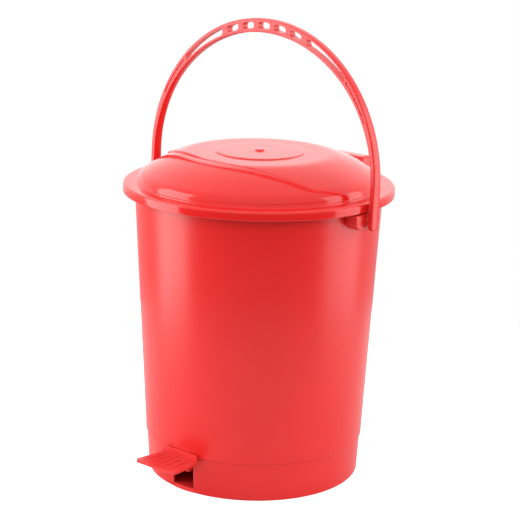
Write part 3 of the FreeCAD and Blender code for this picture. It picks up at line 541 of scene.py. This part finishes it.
def lid_surfaces():
    """Outer and inner surface of the lid on one polar grid.

    Rings go from the centre over the disc to the step's crest, down the step, over the front
    panel to the dome's foot, out along the flange and down the skirt.  The ring at the crest
    follows the step in front and the hood's cut at the back.
    """
    crest, stepped = step_radius(lid_angles)
    outer_rows = []
    disc_z = PLATEAU_Z + DISC_RISE
    top_rings = [(0.0, NUB_TOP_Z), (3.6, NUB_TOP_Z), (4.1, NUB_TOP_Z - 0.08), (4.5, NUB_TOP_Z - 0.35),
                 (5.6, disc_z + 0.2), (5.9, disc_z + 0.04), (6.5, disc_z), (20, disc_z),
                 (36, disc_z), (DISC_R - 2.5, disc_z), (DISC_R - 1.2, disc_z - 0.05),
                 (DISC_R - 0.5, disc_z - 0.3), (DISC_R - 0.1, disc_z - 0.7), (DISC_R + 0.2, PLATEAU_Z + 0.12),
                 (DISC_R + 0.6, PLATEAU_Z + 0.02), (DISC_R + 2, PLATEAU_Z), (DISC_R + 8, PLATEAU_Z),
                 (FLAT_R, PLATEAU_Z)]
    for r, z in top_rings:
        outer_rows.append((np.full(len(lid_angles), r), np.full(len(lid_angles), z)))
    flat_rows = len(outer_rows)
    for share in np.linspace(0, 1, 14)[1:]:
        r = FLAT_R + (crest - STEP_BRINK - FLAT_R) * share
        outer_rows.append((r, dome_height(r, 0)))
    outer_rows.append((crest, dome_height(crest, 0)))
    crest_rows = len(outer_rows)
    for share in (0.34, 0.67, 1.0):
        r = crest + STEP_RUN * share
        x, y = r * np.cos(lid_angles), r * np.sin(lid_angles)
        outer_rows.append((r, dome_height(r, np.where(stepped, panel_drop(x, y) * share, 0))))
    start = outer_rows[-1][0]
    bent = 1 - (1 - np.linspace(0, 1, 18)[1:]) ** 1.6
    for share in [0.006] + list(bent):
        r = start + (DOME_FOOT_R - start) * share
        x, y = r * np.cos(lid_angles), r * np.sin(lid_angles)
        outer_rows.append((r, dome_height(r, np.where(stepped, panel_drop(x, y), 0))))
    dome_rows = len(outer_rows)
    rim = np.concatenate([
        [[DOME_FOOT_R + 0.1, BEAD_Z + 0.5], [DOME_FOOT_R + 0.4, BEAD_Z + 0.1], [BEAD_R - 0.5, BEAD_Z],
         [BEAD_R - 0.1, BEAD_Z - 0.25], [BEAD_R + 0.05, FLANGE_Z + 0.6], [BEAD_R + 0.4, FLANGE_Z + 0.1],
         [BEAD_R + 1.0, FLANGE_Z]],
        run((130.0, FLANGE_Z), (FLANGE_R - 3.2, FLANGE_Z), 4),
        circle_through((FLANGE_R - 2.4, FLANGE_Z - 0.05), (FLANGE_R - 0.7, FLANGE_Z - 0.75),
                       (FLANGE_R - 0.05, FLANGE_Z - 2.4), 8),
        run((FLANGE_R, FLANGE_Z - 3.2), (FLANGE_R, SKIRT_Z + 0.7), 5),
        [[FLANGE_R - 0.2, SKIRT_Z + 0.15], [FLANGE_R - 0.7, SKIRT_Z]],
    ])
    for r, z in rim:
        outer_rows.append((np.full(len(lid_angles), r), np.full(len(lid_angles), z)))
    outer_r = np.stack([row[0] for row in outer_rows])
    outer_z = np.stack([row[1] for row in outer_rows])
    inner_r = outer_r - np.clip((outer_r - FLAT_R) / FLAT_R, 0, 1) * (LID_WALL - 0.2)
    inner_z = outer_z - LID_WALL
    inner_z[:flat_rows] = PLATEAU_Z - LID_WALL
    ring_in = np.interp(np.arange(len(rim)), [0, 6, 10, 18, len(rim) - 1],
                        [DOME_FOOT_R - LID_WALL, BEAD_R, FLANGE_R - 5, FLANGE_R - 2.2, FLANGE_R - 2.2])
    level_in = np.interp(np.arange(len(rim)), [0, 4, 6, 10, 18, len(rim) - 1],
                         [BEAD_Z - 0.9, FLANGE_Z - 2, FLANGE_Z - 2, FLANGE_Z - 2, FLANGE_Z - 2.4, SKIRT_Z])
    inner_r[dome_rows:] = ring_in[:, None]
    inner_z[dome_rows:] = level_in[:, None]
    rear = np.argmin(np.abs(lid_angles - half_turn))
    turn = lid_angles + straight_sided(lid_angles, outer_r[:, rear], HOOD_KEY_R, half_turn, 0.45)
    turn[:crest_rows - 2] = lid_angles
    outer = np.stack([outer_r * np.cos(turn), outer_r * np.sin(turn), outer_z], -1)
    inner = np.stack([inner_r * np.cos(turn), inner_r * np.sin(turn), inner_z], -1)
    centre = (lid_angles + np.roll(lid_angles, -1)) / 2
    centre[-1] = math.pi
    keep = np.ones((len(outer) - 1, len(lid_angles)), bool)
    keep[crest_rows:] = ~(np.abs(centre - half_turn) < cut_angle)[None, :]
    return outer, inner, keep


lid_outer, lid_inner, lid_keep = lid_surfaces()


def plug_ring():
    """Ring under the dome's foot that locates the lid in the bucket's mouth; left out towards the hinge."""
    heights = np.array([306.4, 300.0, 298.4, 298.0])
    radii = np.array([DOME_FOOT_R, DOME_FOOT_R, DOME_FOOT_R - 0.1, DOME_FOOT_R - 0.5])
    turn = np.broadcast_to(lid_angles, (4, len(lid_angles)))
    outer = ring_points(radii, heights, turn)
    inner = ring_points(np.full(4, DOME_FOOT_R - LID_WALL), heights, turn)
    middle_y = DOME_FOOT_R * np.sin(lid_angles + math.pi / len(lid_angles))
    return walled(outer, inner, np.repeat((middle_y < PLUG_BACK_Y)[None, :], 3, axis=0), True)


lid_parts = [walled(lid_outer, lid_inner, lid_keep, True), plug_ring()]
piece("lid_dome", lid_parts, lid_red, "lid", ["lid"])

# ---------------------------------------------------------------------------
# Hinge hood: the hump at the back of the lid that covers the hinge, moulded
# with it, with two knuckles and two small screw bosses inside.
# ---------------------------------------------------------------------------

HOOD_HALF = 46.0
HOOD_WALL = 2.2
HOOD_EDGE = 3.0
HOOD_POINTS = 40
KNUCKLE_R = 5.0


def hood_section(inset):
    """Section of the hood across its length, from the front foot over the crest to the back foot."""
    front = run((114.0 + inset, 313.0), (115.3 + inset, 318.6 - inset), 5)
    crown = circle_through((115.5 + inset, 319.2 - inset), (116.9 + inset, 322.0 - inset),
                           (120.0 + inset, 323.0 - inset), 8)
    top = run((121.5 + inset * 0.7, 323.0 - inset), (130.0, 322.7 - inset), 6)
    slope = circle_through((131.0, 322.6 - inset), (142.0 - 0.8 * inset, 318.0 - 0.8 * inset),
                           (146.6 - inset, 308.0), 14)
    back = run((146.7 - inset, 306.5), (147.0 - inset, 290.0), 7)
    return np.concatenate([front, crown, top, slope, back])


def hood_shell():
    """Section carried along X; near each end it shrinks along a quarter circle, and the end is closed."""
    angle = np.linspace(0, half_turn, 7)
    ends = HOOD_HALF - HOOD_EDGE + HOOD_EDGE * np.sin(angle)
    shrink = HOOD_EDGE * (1 - np.cos(angle))
    along = np.concatenate([-ends[::-1], np.linspace(-40, 40, 9), ends])
    inset = np.concatenate([shrink[::-1], np.zeros(9), shrink])
    outer = np.stack([at_x(hood_section(i), x) for x, i in zip(along, inset)])
    inner_along = np.clip(along, -HOOD_HALF + HOOD_WALL, HOOD_HALF - HOOD_WALL)
    inner = np.stack([at_x(hood_section(HOOD_WALL + 0.35 * i), x) for x, i in zip(inner_along, inset)])
    return outer, inner


def end_wall(ring_out, x_in):
    """Flat end of the hood, a thin plate that stands on the flange and hangs down behind the bucket's rim."""
    foot = np.where(ring_out[:, 1] < 130.5, 306.2, 290.0)
    floor = np.stack([ring_out[:, 0], ring_out[:, 1], foot], -1)
    share = np.linspace(0, 1, 5)[:, None, None]
    face = ring_out[None] * (1 - share) + floor[None] * share
    back = face.copy()
    back[..., 0] = x_in
    return walled(face, back, np.ones((4, len(ring_out) - 1), bool), False)


hood_outer, hood_inner = hood_shell()
hood_keep = np.ones((len(hood_outer) - 1, HOOD_POINTS - 1), bool)
hood_parts = [walled(hood_outer, hood_inner, hood_keep, False),
              end_wall(hood_outer[0], -HOOD_HALF + HOOD_WALL),
              end_wall(hood_outer[-1], HOOD_HALF - HOOD_WALL)]
piece("hinge_hood", hood_parts, lid_red, "lid", ["lid"])


def knuckle_ring(x):
    """Outline of a knuckle: a half circle round the pin and two straight sides up into the hood."""
    angle = np.linspace(math.pi, 2 * math.pi, 21)
    low = np.stack([HINGE_Y + KNUCKLE_R * np.cos(angle), HINGE_Z + KNUCKLE_R * np.sin(angle)], -1)
    behind, ahead = HINGE_Y + KNUCKLE_R, HINGE_Y - KNUCKLE_R
    outline = np.concatenate([low, run((behind, 300.0), (behind, 319.0), 5),
                              run((behind - 1.0, 320.2), (ahead, 321.6), 4),
                              run((ahead, 318.0), (ahead, 300.0), 5)])
    return at_x(outline, x)


for side, label in ((1, "right"), (-1, "left")):
    rings = np.stack([knuckle_ring(x) for x in (27.0, 27.4, 31.6, 32.0)]) * [side, 1, 1]
    piece("hinge_knuckle_" + label, [tube(rings)], lid_red, "lid", ["lid"])
    boss = np.stack([post_ring((9.0 * side, 124.0), r, z) for r, z in ((3.6, 312.0), (3.6, 321.5))])
    piece("crank_boss_" + label, [tube(boss)], lid_red, "lid", ["lid"])

# ---------------------------------------------------------------------------
# Carrying handle.  A flat red arch, thin at the feet and deep at the grip,
# with five grip holes, two long tapering slots and shallow pockets below
# them.  It leans back a little on its two pins.
# ---------------------------------------------------------------------------

ARM_OUT_X = 148.5
ARM_T = 5.0
ARM_FOOT_Z = 280.0
ARCH_Z = 322.0
APEX_Z = 474.0
GRIP_T = 14.0
INNER_ARCH_Z = 320.0
FOOT_HALF_DEPTH = 5.5
GRIP_HALF_DEPTH = 4.2
HANDLE_LEAN = math.radians(2.0)
HOLE_STEP = 0.1425
HOLE_HALF_LONG = 7.6
HOLE_HALF_HIGH = 3.4
SLOT_START = 0.385
SLOT_END = 0.79
SLOT_WIDEST = 3.8
SLOT_NARROWING = 1.2
SLOT_HEAD = 0.055
POCKET_START = 0.81
POCKET_END = 1.12
POCKET_HALF = 1.5
POCKET_DEPTH = 0.9
EDGE_ROUND = 0.9
ARM_STRETCH = 120.0

handle_red = plastic("red_handle_plastic", RED_DEEP, RED_PALE, 0.22, wave=0.15, dust=0.02)


def band_lines(t):
    """Middle point, outward direction and half width of the band at parameter t from the apex.

    Outer and inner edge are half ellipses at the same parameter; beyond a quarter turn both go
    straight down, by the arc length of the outer one.
    """
    turn = np.clip(np.abs(t), 0, half_turn)
    beyond = (np.abs(t) - turn) * ARM_STRETCH
    sign = np.where(t < 0, -1.0, 1.0)
    out = np.stack([sign * ARM_OUT_X * np.sin(turn), ARCH_Z + (APEX_Z - ARCH_Z) * np.cos(turn) - beyond], -1)
    inner_x = ARM_OUT_X - ARM_T
    inner = np.stack([sign * inner_x * np.sin(turn),
                      INNER_ARCH_Z + (APEX_Z - GRIP_T - INNER_ARCH_Z) * np.cos(turn) - beyond], -1)
    level = np.clip((np.abs(t) - half_turn) / 0.06, 0, 1)
    inner[:, 1] += (out[:, 1] - inner[:, 1]) * level
    span = out - inner
    width = np.linalg.norm(span, axis=1)
    return (out + inner) / 2, span / width[:, None], width / 2


def opening_half(t):
    """Half height of the opening in the band at parameter t, and whether it goes right through.

    Grip holes are rounded rectangles given by a superellipse; the long slot is round at its
    upper end and narrows evenly; the pocket is an even groove with round ends.
    """
    half = np.zeros(len(t))
    through = np.zeros(len(t), bool)
    for k in range(-2, 3):
        where = (t - k * HOLE_STEP) * (ARM_OUT_X - 3) / HOLE_HALF_LONG
        inside = np.abs(where) <= 1
        half[inside] = HOLE_HALF_HIGH * (1 - np.abs(where[inside]) ** 3.2) ** (1 / 3.2)
        through |= inside
    size = np.abs(t)
    share = (size - SLOT_START) / (SLOT_END - SLOT_START)
    inside = (share >= 0) & (share <= 1)
    into = np.minimum(share[inside] / SLOT_HEAD, 1)
    head = np.sqrt(np.clip(1 - (1 - into) ** 2, 0, 1))
    tip = np.sqrt(np.clip((1 - share[inside]) / 0.015, 0, 1))
    half[inside] = (SLOT_WIDEST - SLOT_NARROWING * share[inside]) * head * tip
    through |= inside
    share = (size - POCKET_START) / (POCKET_END - POCKET_START)
    inside = (share > 0) & (share < 1)
    half[inside] = POCKET_HALF * np.sqrt(np.clip(np.minimum(share[inside], 1 - share[inside]) / 0.02, 0, 1))
    return half, through


def band_parameters():
    """Parameters along the arch: crowded where an opening begins or ends, even elsewhere."""
    crowd = (1 - np.cos(np.linspace(0, math.pi, 23))) / 2
    stops = []
    hole = HOLE_HALF_LONG / (ARM_OUT_X - 3)
    for k in range(0, 3):
        low, high = k * HOLE_STEP - hole, k * HOLE_STEP + hole
        stops.append(low + (high - low) * crowd)
    slot_head = SLOT_START + (SLOT_END - SLOT_START) * SLOT_HEAD * (1 - np.cos(np.linspace(0, half_turn, 9)))
    stops += [slot_head, np.linspace(slot_head[-1], SLOT_END - 0.008, 24),
              np.linspace(SLOT_END - 0.006, SLOT_END, 5),
              np.linspace(POCKET_START, POCKET_START + 0.007, 5),
              np.linspace(POCKET_START + 0.02, POCKET_END - 0.02, 18),
              np.linspace(POCKET_END - 0.007, POCKET_END, 5), np.linspace(POCKET_END + 0.02, half_turn, 20),
              half_turn + np.array([0.02, 0.04, 0.06, 0.1, 0.16, 0.22])]
    foot = half_turn + (ARCH_Z - ARM_FOOT_Z) / ARM_STRETCH
    tail = FOOT_HALF_DEPTH / ARM_STRETCH
    stops.append(foot - tail * (1 - np.sin(np.linspace(0, half_turn, 9))))
    half = np.unique(np.round(np.concatenate(stops), 7))
    half = half[half >= 0]
    return np.concatenate([-half[:0:-1], half])


def handle_surfaces():
    """Front and back face of the band on one grid of lines along the arch.

    Lines follow the outer edge, the opening's two edges and the inner edge; the depth is rounded
    off along both edges and tapers to a half circle at the feet.
    """
    t = band_parameters()
    middle_point, outward, width = band_lines(t)
    half, through = opening_half(t)
    pocket = (half > 0) & ~through
    offsets = []
    depths = []
    for inset, fall in ((0.0, EDGE_ROUND), (0.12, 0.45), (0.35, 0.19), (EDGE_ROUND, 0.0)):
        offsets.append(width - inset)
        depths.append(np.full(len(t), -fall))
    offsets += [half + (width - EDGE_ROUND - half) * 0.4, half, half * np.where(pocket, 0.5, 0.85)]
    sunk = np.where(pocket, -POCKET_DEPTH, 0.0)
    depths += [np.zeros(len(t)), np.zeros(len(t)), sunk]
    offsets = offsets + [-o for o in offsets[::-1]]
    depths = depths + depths[::-1]
    z = middle_point[:, 1]
    deep = np.interp(z, [310, 410], [FOOT_HALF_DEPTH, GRIP_HALF_DEPTH])
    foot = np.clip((ARM_FOOT_Z + FOOT_HALF_DEPTH - z) / FOOT_HALF_DEPTH, 0, 1)
    deep = deep * np.sqrt(1 - foot ** 2)
    front = []
    for offset, depth in zip(offsets, depths):
        place = middle_point + outward * offset[:, None]
        y = -np.maximum(deep + depth, deep * 0.35)
        front.append(np.stack([place[:, 0], y, place[:, 1]], -1))
    front = np.stack(front, axis=1)
    back = front * [1, -1, 1]
    opening = through[:-1] & through[1:]
    keep = np.ones((len(t) - 1, front.shape[1] - 1), bool)
    keep[opening, 5:8] = False
    return front, back, keep


def lean(part):
    """The part's points turned about the pivots' line, back by the handle's lean."""
    points = part[0].copy()
    y, z = points[:, 1].copy(), points[:, 2] - PIVOT_Z
    points[:, 1] = y * math.cos(HANDLE_LEAN) + z * math.sin(HANDLE_LEAN)
    points[:, 2] = PIVOT_Z - y * math.sin(HANDLE_LEAN) + z * math.cos(HANDLE_LEAN)
    return (points,) + tuple(part[1:])


handle_front, handle_back, handle_keep = handle_surfaces()
piece("carrying_handle", [lean(walled(handle_front, handle_back, handle_keep, False))], handle_red,
      "handle", ["handle"])

# ---------------------------------------------------------------------------
# Pedal, base plate, grey liner and the small red mouldings of the mechanism
# keep their shapes; each gets the finish of its own plastic.
# ---------------------------------------------------------------------------

pedal_red = plastic("red_pedal_plastic", (0.60, 0.011, 0.010), (0.70, 0.016, 0.014), 0.28, wave=0.1)
mechanism_red = plastic("red_mechanism_plastic", (0.56, 0.012, 0.011), (0.66, 0.016, 0.014), 0.38, wave=0.1)
liner_grey = plastic("grey_liner_plastic", (0.30, 0.30, 0.31), (0.36, 0.36, 0.37), 0.42, dust=0.10,
                     glow=0.0, dust_tone=(0.55, 0.53, 0.50))


def dress(node, material):
    """Puts a material on a node that is carried over unchanged."""
    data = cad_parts[node].data
    data.materials.clear()
    data.materials.append(material)


dress("pedal", pedal_red)
dress("base_plate", body_red)
dress("lid_crank", mechanism_red)
dress("handle_pins", mechanism_red)
dress("handle_washers", mechanism_red)
dress("inner_bucket", liner_grey)

# ---------------------------------------------------------------------------
# Steel parts: zinc-plated wire, pin, axle and screws, and dark spring-steel
# push-on washers.
# ---------------------------------------------------------------------------


def plated_steel(name, bright, dull, rough):
    """Metal with a clouded plating, drawn lines and stained patches."""
    material = bpy.data.materials.new(name)
    material.use_nodes = True
    tree = material.node_tree
    shader = tree.nodes["Principled BSDF"]
    shader.inputs["Metallic"].default_value = 1.0
    skin = place_group(tree, SKIN, [("Peel Scale", 900.0), ("Wave Scale", 140.0), ("Wave Share", 0.3)])
    marks = place_group(tree, MARKS, [("Scratch Scale", 120.0)])
    tree.links.new(tint(tree, marks.outputs["Smudge"], bright, dull), shader.inputs["Base Color"])
    streaks = math_node(tree, "MULTIPLY", marks.outputs["Scratches"], 0.2)
    cloud = math_node(tree, "MULTIPLY", skin.outputs["Drift"], 0.15)
    marked = math_node(tree, "ADD", streaks, cloud)
    tree.links.new(math_node(tree, "ADD", marked, rough), shader.inputs["Roughness"])
    bump = add(tree, "ShaderNodeBump", [("Strength", 0.25), ("Distance", 0.0002)])
    tree.links.new(skin.outputs["Height"], bump.inputs["Height"])
    tree.links.new(bump.outputs["Normal"], shader.inputs["Normal"])
    return material


zinc = plated_steel("zinc_plating", (0.66, 0.66, 0.64), (0.48, 0.47, 0.44), 0.24)
spring = plated_steel("dark_spring_steel", (0.22, 0.22, 0.23), (0.15, 0.14, 0.14), 0.30)
for node in ("base_screws", "crank_screws", "hinge_pin", "push_rod", "pedal_axle"):
    dress(node, zinc)
for node in ("hinge_clips", "rod_clips", "axle_clips"):
    dress(node, spring)

# ---------------------------------------------------------------------------
# Studio: a round white table, a white surround that is dark low down on the
# camera's side, two tall soft boxes, left and right, that reach below it, and
# a weak fill from the front and above that shows in no reflection.
# ---------------------------------------------------------------------------

VIEW_AZIMUTH = 39.5
VIEW_ELEVATION = 14.829
VIEW_DISTANCE = 1.7169
VIEW_HEIGHT = 0.2234
VIEW_ROLL = 1.311
VIEW_LENS = 113.91
VIEW_SHIFT = 0.0052
TABLE_R = 0.62
PAPER_LIFT = 0.75


def away(azimuth, distance, height):
    """Point at an azimuth about the Z axis, 0 being -Y and 90 being +X."""
    a = math.radians(azimuth)
    return Vector((distance * math.sin(a), -distance * math.cos(a), height))


floor_angle = np.linspace(0, 2 * math.pi, 97)[:-1]
floor_radii = np.array([0.0, 0.15, 0.3, 0.45, TABLE_R])
floor_grid = np.stack([np.outer(floor_radii, np.cos(floor_angle)), np.outer(floor_radii, np.sin(floor_angle)),
                       np.zeros((len(floor_radii), len(floor_angle)))], -1)
floor_points, floor_sides = tube(floor_grid)[:2]
floor_mesh = bpy.data.meshes.new("studio_floor")
floor_mesh.from_pydata(floor_points, [], floor_sides.tolist())
floor = bpy.data.objects.new("studio_floor", floor_mesh)
bpy.context.scene.collection.objects.link(floor)
floor_paper = bpy.data.materials.new("pale_paper")
floor_paper.use_nodes = True
paper_tree = floor_paper.node_tree
paper = paper_tree.nodes["Principled BSDF"]
paper.inputs["Roughness"].default_value = 0.7
fibres = add(paper_tree, "ShaderNodeTexNoise", [("Scale", 300.0), ("Detail", 4.0)])
paper_tree.links.new(add(paper_tree, "ShaderNodeTexCoord").outputs["Object"], fibres.inputs["Vector"])
paper_tree.links.new(tint(paper_tree, fibres.outputs["Fac"], (0.66, 0.66, 0.66), (0.69, 0.69, 0.69)),
                     paper.inputs["Base Color"])
paper.inputs["Emission Color"].default_value = (1.0, 1.0, 1.0, 1.0)
paper_seen = add(paper_tree, "ShaderNodeLightPath")
paper_tree.links.new(math_node(paper_tree, "MULTIPLY", paper_seen.outputs["Is Camera Ray"], PAPER_LIFT),
                     paper.inputs["Emission Strength"])
floor_mesh.materials.append(floor_paper)

scene = bpy.context.scene
scene.view_settings.view_transform = "Standard"
world = bpy.data.worlds.new("studio_surround")
scene.world = world
world.use_nodes = True
sky = world.node_tree
surround = sky.nodes["Background"]


def stretch(tree, value, low, high, out_low, out_high):
    """Smooth change from one value to another as a socket goes from low to high."""
    node = add(tree, "ShaderNodeMapRange", [("From Min", low), ("From Max", high), ("To Min", out_low),
                                            ("To Max", out_high)], interpolation_type="SMOOTHSTEP")
    tree.links.new(value, node.inputs["Value"])
    return node.outputs["Result"]


way = add(sky, "ShaderNodeTexCoord").outputs["Generated"]
toward = add(sky, "ShaderNodeVectorMath", operation="DOT_PRODUCT")
sky.links.new(way, toward.inputs[0])
toward.inputs[1].default_value = away(VIEW_AZIMUTH, 1.0, 0.0)
height = add(sky, "ShaderNodeSeparateXYZ")
sky.links.new(way, height.inputs[0])
far_side = stretch(sky, toward.outputs["Value"], -0.9, 0.1, 1.3, 1.0)
near_side = stretch(sky, toward.outputs["Value"], 0.1, 0.8, 0.0, 0.75)
low_down = stretch(sky, height.outputs["Z"], -0.1, 0.3, 1.0, 0.0)
under = stretch(sky, height.outputs["Z"], -0.3, -0.05, 0.4, 1.0)
ring = math_node(sky, "MULTIPLY", far_side, under)
dimming = math_node(sky, "MULTIPLY", near_side, low_down)
shade = math_node(sky, "MAXIMUM", math_node(sky, "SUBTRACT", ring, dimming), 0.12)
open_sky = add(sky, "ShaderNodeMix", [("B", 1.0)])
sky.links.new(add(sky, "ShaderNodeLightPath").outputs["Is Camera Ray"], open_sky.inputs["Factor"])
sky.links.new(shade, open_sky.inputs["A"])
sky.links.new(open_sky.outputs["Result"], surround.inputs["Strength"])
surround.inputs["Color"].default_value = (1.0, 1.0, 1.0, 1.0)


def soft_box(name, azimuth, distance, height, wide, tall, power):
    """Rectangular area light that looks at the middle of the bin."""
    data = bpy.data.lights.new(name, "AREA")
    data.shape = "RECTANGLE"
    data.size = wide
    data.size_y = tall
    data.energy = power
    lamp = bpy.data.objects.new(name, data)
    scene.collection.objects.link(lamp)
    lamp.location = away(azimuth, distance, height)
    lamp.rotation_mode = "QUATERNION"
    lamp.rotation_quaternion = (Vector((0, 0, 0.18)) - lamp.location).to_track_quat("-Z", "Y")
    return lamp


soft_box("left_box", VIEW_AZIMUTH - 85, 1.5, 0.35, 1.03, 1.9, 23.0)
soft_box("right_box", VIEW_AZIMUTH + 86, 1.5, 0.35, 1.21, 1.9, 15.0)
soft_box("front_fill", VIEW_AZIMUTH + 5, 1.5, 1.1, 1.0, 0.6, 5.5).visible_glossy = False

camera_data = bpy.data.cameras.new("view")
camera = bpy.data.objects.new("view", camera_data)
scene.collection.objects.link(camera)
scene.camera = camera
camera_data.sensor_width = 36.0
camera_data.lens = VIEW_LENS
camera_data.shift_x = VIEW_SHIFT
camera_data.clip_start = 0.05
camera_data.clip_end = 60.0
rise = math.radians(VIEW_ELEVATION)
target = Vector((0, 0, VIEW_HEIGHT))
eye = away(VIEW_AZIMUTH, VIEW_DISTANCE * math.cos(rise), VIEW_HEIGHT + VIEW_DISTANCE * math.sin(rise))
back = (eye - target).normalized()
right = Vector((0, 0, 1)).cross(back).normalized()
up = back.cross(right)
roll = math.radians(VIEW_ROLL)
right, up = right * math.cos(roll) + up * math.sin(roll), up * math.cos(roll) - right * math.sin(roll)
camera.matrix_world = Matrix.Translation(eye) @ Matrix((right, up, back)).transposed().to_4x4()
